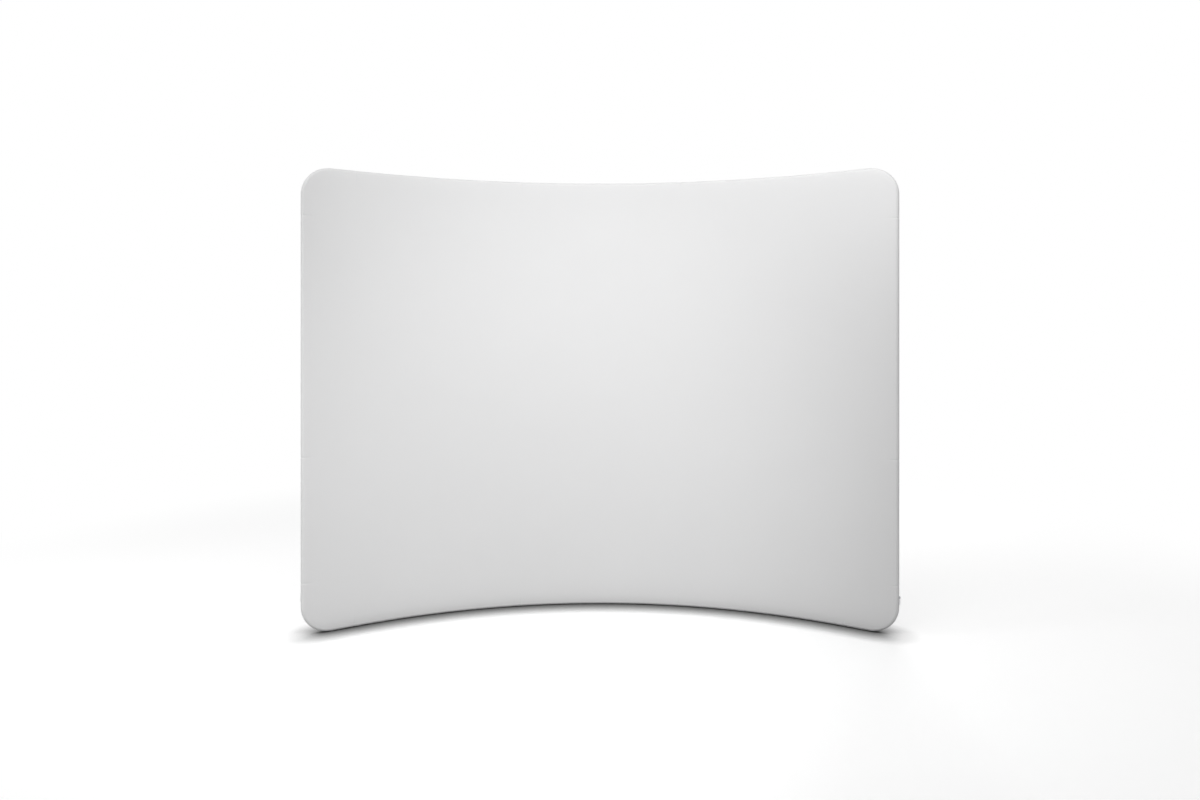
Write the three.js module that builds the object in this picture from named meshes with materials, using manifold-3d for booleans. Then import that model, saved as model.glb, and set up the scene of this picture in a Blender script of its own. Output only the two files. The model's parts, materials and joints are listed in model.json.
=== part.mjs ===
// Curved display backwall: a looped tube frame in a stretched fabric cover with a zip below.
// Millimetres, +Z up. The origin lies on the floor, midway across the width and the depth.
// The hollow side faces -Y, where a visitor stands, and +X is to that visitor's right.

import * as THREE from "three";
import { LoftGeometry } from "three/addons/geometries/LoftGeometry.js";
import { mergeVertices } from "three/addons/utils/BufferGeometryUtils.js";
import Module from "manifold-3d";

const wasm = await Module();
wasm.setup();

// ---- Driving sizes -------------------------------------------------------------------------

// The frame as a whole.
const WALL_HEIGHT = 2283; // floor to the seam along the top
const RAIL_PLAN_RADIUS = 2500; // centreline of the curved rails, seen from above
const RAIL_TUBE_LENGTH = 860; // along the centreline
const RAIL_TUBES = 3; // tubes in each rail
const CORNER_LEG = 233; // rail joint to the centreline of the upright
const CORNER_RISE = 231.7; // centreline of the rail to the joint in the upright
const CORNER_BEND_RADIUS = 122; // centreline of the rounded corner
const LOWER_SIDE_LENGTH = 610.5; // lower tube of each upright
const LOWER_POLE_LENGTH = 1040; // lower tube of the centre pole

// Tubes and the swaged ends that plug them together.
const TUBE_RADIUS = 16;
const TUBE_WALL = 1.5;
const FIT_GAP = 0.3; // round a swaged end in its socket, and between the ends of two tubes
const STUB_LENGTH = 60;
const STUB_WALL = 1.5;
const NECK_LENGTH = 12; // inside the tube, behind its swaged end

// Spring-loaded snap buttons, one in each plugged joint.
const BUTTON_RADIUS = 4;
const BUTTON_SETBACK = 30; // from the joint to the middle of the button
const BUTTON_PROUD = 3.5; // out of the tube
const BUTTON_TIP_CHAMFER = 1.2;
const BUTTON_FLANGE_RADIUS = 5.4;
const BUTTON_FLANGE_THICKNESS = 1;
const BUTTON_HOLE_CLEARANCE = 0.45;
const SPRING_WIDTH = 8;
const SPRING_THICKNESS = 0.8;
const SPRING_REACH = 25; // from the button to the fold of the strip
const SPRING_TAIL = 14; // of the lower leg, past the button
const SPRING_GAP = 0.3; // to the flange and to the bore

// Spigots that the centre pole stands on and hangs from.
const SADDLE_HALF_LENGTH = 30; // along the rail
const SADDLE_INSET = 1.5; // its sides lie this far inside the width of the tube
const SADDLE_HEIGHT = 4; // over the rail
const SADDLE_SKIRT = 7; // down the sides of the rail
const SADDLE_GAP = 0.3;
const SPIGOT_LENGTH = 75;

// Fabric cover: a front and a back panel, sewn together and closed with a zip.
const CLOTH_THICKNESS = 0.8;
const CLOTH_GAP = 0.35; // to the tubes
const FRONT_BOW = 18; // middle of the front panel, forward of the rails
const BACK_DRAW = 12; // back panel, drawn in between the pole and the uprights
const SEAM_HALF_WIDTH = 4.8;
const SEAM_THICKNESS = 1.4;
const SEAM_GAP = 0.3; // to the edges of both panels

// Zip along the bottom and a little way up each upright.
const ZIP_RISE = 60; // above the rounded corner
const TAPE_THICKNESS = 0.7;
const TEETH_HALF_WIDTH = 3;
const TEETH_GAP = 0.3; // between the two rows
const SLIDER_LENGTH = 12;
const SLIDER_HALF_WIDTH = 4.6;
const SLIDER_PLATE = 1.4;
const SLIDER_GAP = 0.3; // to the teeth and to the tape
const SLIDER_END_GAP = 6; // below the end of the zip
const BRIDGE_HALF_WIDTH = 1.2;
const BRIDGE_BAR = 1.2;
const BRIDGE_WINDOW = 3.4; // height of the eye that holds the pull
const BRIDGE_HALF_SPAN = 5;
const PULL_LENGTH = 39;
const PULL_HALF_WIDTH = 4;
const PULL_THICKNESS = 1.6;
const PULL_CROSSBAR = 2.2;
const PULL_SLOT_LENGTH = 8;
const PULL_SLOT_CLEARANCE = 0.4; // from the bridge to each arm of the pull

// Facets.
const TUBE_SIDES = 12;
const BUTTON_SIDES = 8;
const RAIL_STEPS = 6; // in each rail tube
const BEND_STEPS = 6;
const PANEL_ROWS = 6;
const WRAP_STEPS = 4;

// ---- Derived sizes -------------------------------------------------------------------------

const TUBE_BORE = TUBE_RADIUS - TUBE_WALL;
const STUB_RADIUS = TUBE_BORE - FIT_GAP;
const STUB_BORE = STUB_RADIUS - STUB_WALL;
const CLOTH_INSIDE = (TUBE_RADIUS + CLOTH_GAP) / Math.cos(Math.PI / 4 / WRAP_STEPS);
const CLOTH_OUTSIDE = CLOTH_INSIDE + CLOTH_THICKNESS;
const SEAM_INSIDE = TUBE_RADIUS + CLOTH_GAP;
const SEAM_OUTSIDE = SEAM_INSIDE + SEAM_THICKNESS;
const WRAP_END = Math.asin((SEAM_HALF_WIDTH + SEAM_GAP) / CLOTH_INSIDE);
const BOTTOM_RAIL_Z = SEAM_OUTSIDE;
const TOP_RAIL_Z = WALL_HEIGHT - SEAM_OUTSIDE;
const HALF_RAIL = (RAIL_TUBE_LENGTH * RAIL_TUBES) / 2;
const HALF_ANGLE = HALF_RAIL / RAIL_PLAN_RADIUS;
const DEPTH_OF_LINE =
  RAIL_PLAN_RADIUS * (1 - Math.cos(HALF_ANGLE)) + CORNER_LEG * Math.sin(HALF_ANGLE);
const PLAN_CENTRE_Y = DEPTH_OF_LINE / 2 - RAIL_PLAN_RADIUS;
const HALF_LINE = HALF_RAIL + CORNER_LEG;
const ZIP_TOP_Z = BOTTOM_RAIL_Z + CORNER_BEND_RADIUS + ZIP_RISE;
const TAPE_OUTSIDE = SEAM_INSIDE + TAPE_THICKNESS;

const UP = new THREE.Vector3(0, 0, 1);
const LEFT = -1;
const RIGHT = 1;
const BOTTOM = -1;
const TOP = 1;
const FRONT = -1;
const BACK = 1;

// ---- Stations along the loop of tubes ------------------------------------------------------
// A station is a point of the centreline with two directions square to it: out of the loop,
// and to the rear of the wall. The loop runs left to right along the bottom, up the right
// side, back along the top and down the left side.

function railZ(level) {
  return level === BOTTOM ? BOTTOM_RAIL_Z : TOP_RAIL_Z;
}

function railStation(s, level) {
  const angle = s / RAIL_PLAN_RADIUS;
  const rear = new THREE.Vector3(Math.sin(angle), Math.cos(angle), 0);
  const point = rear.clone().multiplyScalar(RAIL_PLAN_RADIUS);
  point.y += PLAN_CENTRE_Y;
  point.z = railZ(level);
  return { point, out: UP.clone().multiplyScalar(level), rear, s };
}

// Horizontal direction in which the corner tubes of one side run on from the rail.
function legDirection(side) {
  const angle = side * HALF_ANGLE;
  return new THREE.Vector3(Math.cos(angle), -Math.sin(angle), 0).multiplyScalar(side);
}

function bendStation(side, level, turn) {
  const end = railStation(side * HALF_RAIL, level);
  const leg = legDirection(side);
  const inward = end.out.clone().negate();
  const reach = CORNER_LEG - CORNER_BEND_RADIUS + CORNER_BEND_RADIUS * Math.sin(turn);
  const rise = CORNER_BEND_RADIUS * (1 - Math.cos(turn));
  const point = end.point.addScaledVector(leg, reach).addScaledVector(inward, rise);
  const out = leg.multiplyScalar(Math.sin(turn)).addScaledVector(end.out, Math.cos(turn));
  return { point, out, rear: end.rear, s: side * (HALF_RAIL + reach) };
}

function uprightStation(side, z) {
  const { point, out, rear, s } = bendStation(side, BOTTOM, Math.PI / 2);
  point.z = z;
  return { point, out, rear, s };
}

// From the rail to the upright.
function bendStations(side, level) {
  const stations = [];
  for (let i = 0; i <= BEND_STEPS; i++) {
    stations.push(bendStation(side, level, (i / BEND_STEPS) * (Math.PI / 2)));
  }
  return stations;
}

// Left to right along a whole rail.
function railStations(level) {
  const stations = [];
  const steps = RAIL_TUBES * RAIL_STEPS;
  for (let i = 0; i <= steps; i++) {
    stations.push(railStation(HALF_RAIL * ((2 * i) / steps - 1), level));
  }
  return stations;
}

// Left to right along the bottom or the top of the wall, with both rounded corners.
function edgeStations(level) {
  const left = bendStations(LEFT, level).reverse();
  return [...left, ...railStations(level), ...bendStations(RIGHT, level)];
}

function towards(from, to, distance) {
  const share = distance / from.point.distanceTo(to.point);
  return {
    point: from.point.clone().lerp(to.point, share),
    out: from.out.clone().lerp(to.out, share).normalize(),
    rear: from.rear.clone().lerp(to.rear, share).normalize(),
  };
}

// ---- Solids --------------------------------------------------------------------------------

function solidOf(geometry) {
  const bare = new THREE.BufferGeometry();
  bare.setAttribute("position", geometry.getAttribute("position"));
  bare.setIndex(geometry.getIndex());
  const merged = mergeVertices(bare);
  const vertProperties = new Float32Array(merged.attributes.position.array);
  const triVerts = new Uint32Array(merged.index.array);
  return new wasm.Manifold(new wasm.Mesh({ numProp: 3, vertProperties, triVerts }));
}

function geometryOf(solid) {
  const { vertProperties, triVerts } = solid.getMesh();
  const geometry = new THREE.BufferGeometry();
  geometry.setAttribute("position", new THREE.BufferAttribute(vertProperties, 3));
  geometry.setIndex(new THREE.BufferAttribute(triVerts, 1));
  geometry.computeVertexNormals();
  return geometry;
}

// A ring round a station, wound the right way for a loft along the loop.
function ring(station, radius) {
  const points = [];
  for (let i = 0; i < TUBE_SIDES; i++) {
    const angle = (i / TUBE_SIDES) * 2 * Math.PI;
    const point = station.point.clone();
    point.addScaledVector(station.out, radius * Math.cos(angle));
    point.addScaledVector(station.rear, radius * Math.sin(angle));
    points.push(point);
  }
  return points;
}

// A solid bar on the centreline, used to shape what seats on a tube.
function barAlong(stations, radius) {
  const rings = stations.map((station) => ring(station, radius));
  return new LoftGeometry(rings, { capStart: true, capEnd: true });
}

function stubStation({ point, out }, direction, distance) {
  const rear = direction.clone().cross(out);
  return { point: point.clone().addScaledVector(direction, distance), out, rear };
}

// A tube with a plain socket at its first station and, where a direction is given, a swaged
// end past its last one. The neck is where the bore narrows to that of the swaged end.
function tubeAlong(stations, stubDirection) {
  const last = stations[stations.length - 1];
  const before = stations[stations.length - 2];
  const outside = stations.map((station) => ring(station, TUBE_RADIUS));
  const bore = stations.map((station) => ring(station, TUBE_BORE)).reverse();
  if (!stubDirection) {
    return new LoftGeometry([...outside, ...bore, outside[0]]);
  }
  const tip = stubStation(last, stubDirection, STUB_LENGTH);
  const neck = towards(last, before, NECK_LENGTH);
  const stub = [
    ring(last, STUB_RADIUS),
    ring(tip, STUB_RADIUS),
    ring(tip, STUB_BORE),
    ring(last, STUB_BORE),
    ring(neck, TUBE_BORE),
  ];
  return new LoftGeometry([...outside, ...stub, ...bore.slice(1), outside[0]]);
}

// ---- Plugged joints ------------------------------------------------------------------------
// Each joint has a frame at its snap button: x along the swaged end, y out through the button.

function jointAt(station, direction, buttonDirection) {
  const x = direction.clone().normalize();
  const y = buttonDirection.clone().normalize();
  const z = x.clone().cross(y);
  const origin = station.point.clone().addScaledVector(x, BUTTON_SETBACK);
  return new THREE.Matrix4().makeBasis(x, y, z).setPosition(origin);
}

// Cuts the hole for the button through the wall on the button's side.
function withButtonHoles(geometry, joints) {
  const inner = STUB_BORE / 2;
  const outer = TUBE_RADIUS * 1.5;
  const radius = BUTTON_RADIUS + BUTTON_HOLE_CLEARANCE;
  let solid = solidOf(geometry);
  for (const joint of joints) {
    const cutter = new THREE.CylinderGeometry(radius, radius, outer - inner, BUTTON_SIDES);
    cutter.translate(0, (outer + inner) / 2, 0).applyMatrix4(joint);
    solid = solid.subtract(solidOf(cutter));
  }
  return geometryOf(solid);
}

// Distance from the axis to the flat or corner of a bore, at a distance across from its middle.
function boreHeight(radius, across) {
  return radius - across * Math.tan(Math.PI / TUBE_SIDES);
}

const FLANGE_TOP = boreHeight(STUB_BORE, BUTTON_FLANGE_RADIUS) - SPRING_GAP;

function snapButtonGeometry() {
  const base = FLANGE_TOP - BUTTON_FLANGE_THICKNESS;
  const tip = TUBE_RADIUS + BUTTON_PROUD;
  const profile = [
    new THREE.Vector2(0, base),
    new THREE.Vector2(BUTTON_FLANGE_RADIUS, base),
    new THREE.Vector2(BUTTON_FLANGE_RADIUS, FLANGE_TOP),
    new THREE.Vector2(BUTTON_RADIUS, FLANGE_TOP),
    new THREE.Vector2(BUTTON_RADIUS, tip - BUTTON_TIP_CHAMFER),
    new THREE.Vector2(BUTTON_RADIUS - BUTTON_TIP_CHAMFER, tip),
    new THREE.Vector2(0, tip),
  ];
  return new THREE.LatheGeometry(profile, BUTTON_SIDES);
}

// Folded strip: the upper leg lies under the flange, the lower leg on the far side of the bore.
function buttonSpringGeometry() {
  const upper = FLANGE_TOP - BUTTON_FLANGE_THICKNESS - SPRING_GAP - SPRING_THICKNESS / 2;
  const lower = SPRING_GAP + SPRING_THICKNESS / 2 - boreHeight(STUB_BORE, SPRING_WIDTH / 2);
  const middle = (upper + lower) / 2;
  const line = [
    [-BUTTON_FLANGE_RADIUS, upper],
    [SPRING_REACH * 0.35, upper],
    [SPRING_REACH * 0.8, (upper + middle) / 2],
    [SPRING_REACH, middle],
    [SPRING_REACH * 0.8, (lower + middle) / 2],
    [SPRING_REACH * 0.35, lower],
    [-SPRING_TAIL, lower],
  ].map(([x, y]) => new THREE.Vector2(x, y));
  const half = SPRING_THICKNESS / 2;
  const sides = line.map((point, i) => {
    const from = line[Math.max(i - 1, 0)];
    const to = line[Math.min(i + 1, line.length - 1)];
    const along = to.clone().sub(from).normalize();
    const across = new THREE.Vector2(-along.y, along.x).multiplyScalar(half);
    return [point.clone().add(across), point.clone().sub(across)];
  });
  const outline = [...sides.map(([a]) => a), ...sides.map(([, b]) => b).reverse()];
  const options = { depth: SPRING_WIDTH, bevelEnabled: false };
  const strip = new THREE.ExtrudeGeometry(new THREE.Shape(outline), options);
  return strip.translate(0, 0, -SPRING_WIDTH / 2);
}

// ---- Scene ---------------------------------------------------------------------------------

const backwall = new THREE.Group();
backwall.name = "display_backwall";

function finish(color, roughness, metalness) {
  return () => new THREE.MeshStandardMaterial({ color, roughness, metalness });
}

const ALUMINIUM = finish(0xb9bcc0, 0.38, 0.9);
const CAST_ALUMINIUM = finish(0xa6a9ad, 0.5, 0.85);
const BUTTON_STEEL = finish(0xcfd1d4, 0.25, 1);
const SPRING_STEEL = finish(0x8f9296, 0.3, 1);
const FRONT_FABRIC = finish(0xf2f2f2, 0.9, 0);
const BACK_FABRIC = finish(0xeeeeee, 0.9, 0);
const SEAM_THREAD = finish(0xf4f4f4, 0.85, 0);
const ZIP_TAPE = finish(0xe6e6e6, 0.75, 0);
const ZIP_METAL = finish(0x9a9ca0, 0.35, 0.9);

function add(name, geometry, material) {
  const mesh = new THREE.Mesh(geometry, material());
  mesh.name = name;
  backwall.add(mesh);
  return mesh;
}

function addSnapButton(name, joint) {
  const button = add(`snap_button_${name}`, snapButtonGeometry(), BUTTON_STEEL);
  button.applyMatrix4(joint);
  const spring = add(`button_spring_${name}`, buttonSpringGeometry(), SPRING_STEEL);
  spring.applyMatrix4(joint);
}

// ---- The loop of tubes ---------------------------------------------------------------------

const SIDE_JOINTS = [
  BOTTOM_RAIL_Z + CORNER_RISE,
  BOTTOM_RAIL_Z + CORNER_RISE + LOWER_SIDE_LENGTH,
  TOP_RAIL_Z - CORNER_RISE,
];

function railPiece(level, index) {
  const stations = railStations(level).slice(index * RAIL_STEPS, (index + 1) * RAIL_STEPS + 1);
  return level === BOTTOM ? stations : stations.reverse();
}

function cornerPiece(side, level) {
  const joint = uprightStation(side, level === BOTTOM ? SIDE_JOINTS[0] : SIDE_JOINTS[2]);
  const stations = [railStation(side * HALF_RAIL, level), ...bendStations(side, level), joint];
  return side * level === RIGHT * BOTTOM ? stations : stations.reverse();
}

function sidePiece(side, index) {
  const stations = SIDE_JOINTS.slice(index, index + 2).map((z) => uprightStation(side, z));
  return side === RIGHT ? stations : stations.reverse();
}

// In order round the loop, with the name of the joint at the end of each piece.
const LOOP = [
  ["rail_bottom_left", "bottom_2", railPiece(BOTTOM, 0)],
  ["rail_bottom_centre", "bottom_3", railPiece(BOTTOM, 1)],
  ["rail_bottom_right", "bottom_4", railPiece(BOTTOM, 2)],
  ["corner_bottom_right", "right_1", cornerPiece(RIGHT, BOTTOM)],
  ["side_right_lower", "right_2", sidePiece(RIGHT, 0)],
  ["side_right_upper", "right_3", sidePiece(RIGHT, 1)],
  ["corner_top_right", "top_4", cornerPiece(RIGHT, TOP)],
  ["rail_top_right", "top_3", railPiece(TOP, 2)],
  ["rail_top_centre", "top_2", railPiece(TOP, 1)],
  ["rail_top_left", "top_1", railPiece(TOP, 0)],
  ["corner_top_left", "left_3", cornerPiece(LEFT, TOP)],
  ["side_left_upper", "left_2", sidePiece(LEFT, 1)],
  ["side_left_lower", "left_1", sidePiece(LEFT, 0)],
  ["corner_bottom_left", "bottom_1", cornerPiece(LEFT, BOTTOM)],
];

function directionBetween(from, to) {
  return to.point.clone().sub(from.point).normalize();
}

const loopJoints = LOOP.map(([, , stations], i) => {
  const next = LOOP[(i + 1) % LOOP.length][2];
  const end = stations[stations.length - 1];
  return jointAt(end, directionBetween(next[0], next[1]), end.out.clone().negate());
});

LOOP.forEach(([name, jointName, stations], i) => {
  const next = LOOP[(i + 1) % LOOP.length][2];
  const previousJoint = loopJoints[(i + LOOP.length - 1) % LOOP.length];
  const socket = towards(stations[0], stations[1], FIT_GAP);
  const run = [socket, ...stations.slice(1)];
  const blank = tubeAlong(run, directionBetween(next[0], next[1]));
  add(name, withButtonHoles(blank, [previousJoint, loopJoints[i]]), ALUMINIUM);
  addSnapButton(jointName, loopJoints[i]);
});

// ---- Centre pole ---------------------------------------------------------------------------

const POLE = railStation(0, BOTTOM).point;
const SIDEWAYS = new THREE.Vector3(1, 0, 0);

function poleStation(z) {
  const point = new THREE.Vector3(POLE.x, POLE.y, z);
  return { point, out: SIDEWAYS, rear: UP.clone().cross(SIDEWAYS) };
}

const POLE_BOTTOM_Z = BOTTOM_RAIL_Z + TUBE_RADIUS + SADDLE_HEIGHT;
const POLE_JOINT_Z = POLE_BOTTOM_Z + LOWER_POLE_LENGTH;
const POLE_TOP_Z = TOP_RAIL_Z - TUBE_RADIUS - SADDLE_HEIGHT;
const DOWN = UP.clone().negate();
const poleJoints = [
  jointAt(poleStation(POLE_BOTTOM_Z), UP, SIDEWAYS),
  jointAt(poleStation(POLE_JOINT_Z), UP, SIDEWAYS),
  jointAt(poleStation(POLE_TOP_Z), DOWN, SIDEWAYS),
];

// A saddle on the rail with a hollow peg for the end of the pole.
function spigotGeometry(level) {
  const joint = level === BOTTOM ? poleJoints[0] : poleJoints[2];
  const inward = -level;
  const foot = level === BOTTOM ? POLE_BOTTOM_Z : POLE_TOP_Z;
  const rail = railZ(level);
  const start = rail + inward * (TUBE_RADIUS - SADDLE_SKIRT);
  const depth = 2 * (TUBE_RADIUS - SADDLE_INSET);
  const height = Math.abs(foot - start);
  const block = new THREE.BoxGeometry(2 * SADDLE_HALF_LENGTH, depth, height);
  block.translate(POLE.x, POLE.y, (start + foot) / 2);
  const reach = SPIGOT_LENGTH + SADDLE_HEIGHT / 2;
  const sink = SADDLE_HEIGHT / 2;
  const peg = barAlong([poleStation(0), poleStation(reach)], STUB_RADIUS);
  const bore = barAlong([poleStation(0), poleStation(SPIGOT_LENGTH + 1)], STUB_BORE);
  peg.translate(0, 0, level === BOTTOM ? foot - sink : foot + sink - reach);
  bore.translate(0, 0, level === BOTTOM ? foot : foot - SPIGOT_LENGTH - 1);
  const middle = (RAIL_TUBES * RAIL_STEPS) / 2;
  const under = railStations(level).slice(middle - 1, middle + 2);
  if (level === TOP) under.reverse();
  const seat = barAlong(under, TUBE_RADIUS + SADDLE_GAP);
  const solid = solidOf(block).add(solidOf(peg)).subtract(solidOf(bore)).subtract(solidOf(seat));
  return withButtonHoles(geometryOf(solid), [joint]);
}

add("pole_spigot_bottom", spigotGeometry(BOTTOM), CAST_ALUMINIUM);
add("pole_spigot_top", spigotGeometry(TOP), CAST_ALUMINIUM);

const lowerPole = tubeAlong([poleStation(POLE_BOTTOM_Z + FIT_GAP), poleStation(POLE_JOINT_Z)], UP);
add("pole_lower", withButtonHoles(lowerPole, [poleJoints[0], poleJoints[1]]), ALUMINIUM);
const upperPole = tubeAlong([
  poleStation(POLE_JOINT_Z + FIT_GAP),
  poleStation(POLE_TOP_Z - FIT_GAP),
]);
add("pole_upper", withButtonHoles(upperPole, [poleJoints[1], poleJoints[2]]), ALUMINIUM);
poleJoints.forEach((joint, i) => addSnapButton(`pole_${i + 1}`, joint));

// ---- Fabric panels -------------------------------------------------------------------------

// How far a panel lies forward of the rails: s runs along the wall, v from bottom to top.
function forwardOf(face, s, v) {
  const across = Math.abs(s) / HALF_LINE;
  const rise = 4 * v * (1 - v);
  if (face === FRONT) return FRONT_BOW * (1 - across * across) * rise;
  return BACK_DRAW * Math.sin(Math.PI * across) ** 2 * rise;
}

// One panel as a closed shell: the face between the rails and uprights, and the strip that
// wraps round the tubes to the seam. Each point has a twin one thickness further in.
function panelGeometry(face) {
  const bottom = edgeStations(BOTTOM);
  const top = edgeStations(TOP);
  const columns = bottom.length;
  const positions = [];
  const indices = [];
  const orient = (a, b, c) => indices.push(...(face === FRONT ? [a, b, c] : [a, c, b]));
  const quad = (a, b, c, d) => {
    orient(a, b, c);
    orient(a, c, d);
  };
  // Both faces of the cloth: even numbers outside, odd numbers inside.
  const skin = (a, b, c, d) => {
    quad(2 * a, 2 * b, 2 * c, 2 * d);
    quad(2 * d + 1, 2 * c + 1, 2 * b + 1, 2 * a + 1);
  };
  const place = (station, angle, forward) => {
    for (const radius of [CLOTH_OUTSIDE, CLOTH_INSIDE]) {
      const point = station.point.clone();
      point.addScaledVector(station.out, radius * Math.cos(angle));
      point.addScaledVector(station.rear, face * radius * Math.sin(angle) - forward);
      positions.push(point.x, point.y, point.z);
    }
    return positions.length / 6 - 1;
  };

  const grid = [];
  const stationAt = [];
  for (let i = 0; i < columns; i++) {
    grid.push([]);
    stationAt.push([]);
    for (let j = 0; j <= PANEL_ROWS; j++) {
      const v = j / PANEL_ROWS;
      const point = bottom[i].point.clone().lerp(top[i].point, v);
      const edge = j === 0 ? bottom[i] : top[i];
      const inside = j > 0 && j < PANEL_ROWS;
      const out = inside ? uprightStation(i === 0 ? LEFT : RIGHT, 0).out : edge.out;
      const station = { point, out, rear: bottom[i].rear };
      grid[i].push(place(station, Math.PI / 2, forwardOf(face, bottom[i].s, v)));
      stationAt[i].push(station);
    }
  }
  for (let i = 0; i + 1 < columns; i++) {
    for (let j = 0; j < PANEL_ROWS; j++) {
      skin(grid[i][j], grid[i + 1][j], grid[i + 1][j + 1], grid[i][j + 1]);
    }
  }

  // Round the edge of the face in the order of the loop.
  const border = [];
  for (let i = 0; i < columns; i++) border.push([i, 0]);
  for (let j = 1; j <= PANEL_ROWS; j++) border.push([columns - 1, j]);
  for (let i = columns - 2; i >= 0; i--) border.push([i, PANEL_ROWS]);
  for (let j = PANEL_ROWS - 1; j > 0; j--) border.push([0, j]);
  const wrap = border.map(([i, j]) => {
    const line = [grid[i][j]];
    for (let m = 1; m <= WRAP_STEPS; m++) {
      const angle = Math.PI / 2 + (WRAP_END - Math.PI / 2) * (m / WRAP_STEPS);
      line.push(place(stationAt[i][j], angle, 0));
    }
    return line;
  });
  wrap.forEach((line, k) => {
    const next = wrap[(k + 1) % wrap.length];
    for (let m = 0; m < WRAP_STEPS; m++) skin(line[m], line[m + 1], next[m + 1], next[m]);
    const [a, b] = [line[WRAP_STEPS], next[WRAP_STEPS]];
    quad(2 * a, 2 * a + 1, 2 * b + 1, 2 * b);
  });

  const geometry = new THREE.BufferGeometry();
  geometry.setAttribute("position", new THREE.Float32BufferAttribute(positions, 3));
  geometry.setIndex(indices);
  geometry.computeVertexNormals();
  return geometry;
}

add("fabric_front", panelGeometry(FRONT), FRONT_FABRIC);
add("fabric_back", panelGeometry(BACK), BACK_FABRIC);

// ---- Seam and zip --------------------------------------------------------------------------

// A strip along the loop. Its section is in steps out of the loop and to the rear.
function stripGeometry(stations, section) {
  const rings = stations.map((station) =>
    section.map(([out, rear]) => {
      const point = station.point.clone().addScaledVector(station.out, out);
      return point.addScaledVector(station.rear, rear);
    }),
  );
  return new LoftGeometry(rings, { capStart: true, capEnd: true });
}

const zipRun = [
  uprightStation(LEFT, ZIP_TOP_Z),
  ...edgeStations(BOTTOM),
  uprightStation(RIGHT, ZIP_TOP_Z),
];
const seamRun = [
  uprightStation(RIGHT, ZIP_TOP_Z + SEAM_GAP),
  ...edgeStations(TOP).reverse(),
  uprightStation(LEFT, ZIP_TOP_Z + SEAM_GAP),
];

const SEAM_SECTION = [
  [SEAM_INSIDE, -SEAM_HALF_WIDTH],
  [SEAM_OUTSIDE, -SEAM_HALF_WIDTH],
  [SEAM_OUTSIDE, SEAM_HALF_WIDTH],
  [SEAM_INSIDE, SEAM_HALF_WIDTH],
];
add("fabric_seam", stripGeometry(seamRun, SEAM_SECTION), SEAM_THREAD);

// Half of the zip: its row of teeth stands on the edge of its tape.
function stringerSection(face) {
  const section = [
    [SEAM_INSIDE, TEETH_GAP / 2],
    [SEAM_OUTSIDE, TEETH_GAP / 2],
    [SEAM_OUTSIDE, TEETH_HALF_WIDTH],
    [TAPE_OUTSIDE, TEETH_HALF_WIDTH],
    [TAPE_OUTSIDE, SEAM_HALF_WIDTH],
    [SEAM_INSIDE, SEAM_HALF_WIDTH],
  ].map(([out, rear]) => [out, face * rear]);
  return face === BACK ? section : section.reverse();
}

add("zip_stringer_front", stripGeometry(zipRun, stringerSection(FRONT)), ZIP_TAPE);
add("zip_stringer_back", stripGeometry(zipRun, stringerSection(BACK)), ZIP_TAPE);

// The slider and its pull have a frame of their own: x to the rear, y out of the loop, z up.
const zipEnd = uprightStation(RIGHT, ZIP_TOP_Z - SLIDER_END_GAP - SLIDER_LENGTH / 2);
const sliderFrame = new THREE.Group();
sliderFrame.applyMatrix4(
  new THREE.Matrix4()
    .makeBasis(zipEnd.rear.clone().negate(), zipEnd.out, UP)
    .setPosition(zipEnd.point),
);
backwall.add(sliderFrame);

const CHANNEL_HALF_WIDTH = TEETH_HALF_WIDTH + SLIDER_GAP;
const PLATE_INSIDE = SEAM_OUTSIDE + SLIDER_GAP;
const PLATE_OUTSIDE = PLATE_INSIDE + SLIDER_PLATE;
const FLANGE_END = TAPE_OUTSIDE + SLIDER_GAP;
const BAR_INSIDE = PLATE_OUTSIDE + BRIDGE_WINDOW;
const PULL_AXIS = PLATE_OUTSIDE + BRIDGE_WINDOW / 2;

function sliderGeometry() {
  const channel = new THREE.Shape([
    new THREE.Vector2(-SLIDER_HALF_WIDTH, FLANGE_END),
    new THREE.Vector2(-CHANNEL_HALF_WIDTH, FLANGE_END),
    new THREE.Vector2(-CHANNEL_HALF_WIDTH, PLATE_INSIDE),
    new THREE.Vector2(CHANNEL_HALF_WIDTH, PLATE_INSIDE),
    new THREE.Vector2(CHANNEL_HALF_WIDTH, FLANGE_END),
    new THREE.Vector2(SLIDER_HALF_WIDTH, FLANGE_END),
    new THREE.Vector2(SLIDER_HALF_WIDTH, PLATE_OUTSIDE),
    new THREE.Vector2(-SLIDER_HALF_WIDTH, PLATE_OUTSIDE),
  ]);
  const body = new THREE.ExtrudeGeometry(channel, { depth: SLIDER_LENGTH, bevelEnabled: false });
  body.translate(0, 0, -SLIDER_LENGTH / 2);
  const foot = PLATE_OUTSIDE - SLIDER_PLATE / 2;
  const height = BAR_INSIDE + BRIDGE_BAR - foot;
  const width = 2 * BRIDGE_HALF_WIDTH;
  const arch = new THREE.BoxGeometry(width, height, 2 * BRIDGE_HALF_SPAN);
  arch.translate(0, foot + height / 2, 0);
  const span = 2 * (BRIDGE_HALF_SPAN - BRIDGE_BAR);
  const eye = new THREE.BoxGeometry(2 * width, BRIDGE_WINDOW, span);
  eye.translate(0, PULL_AXIS, 0);
  return geometryOf(solidOf(body).add(solidOf(arch).subtract(solidOf(eye))));
}

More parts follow.
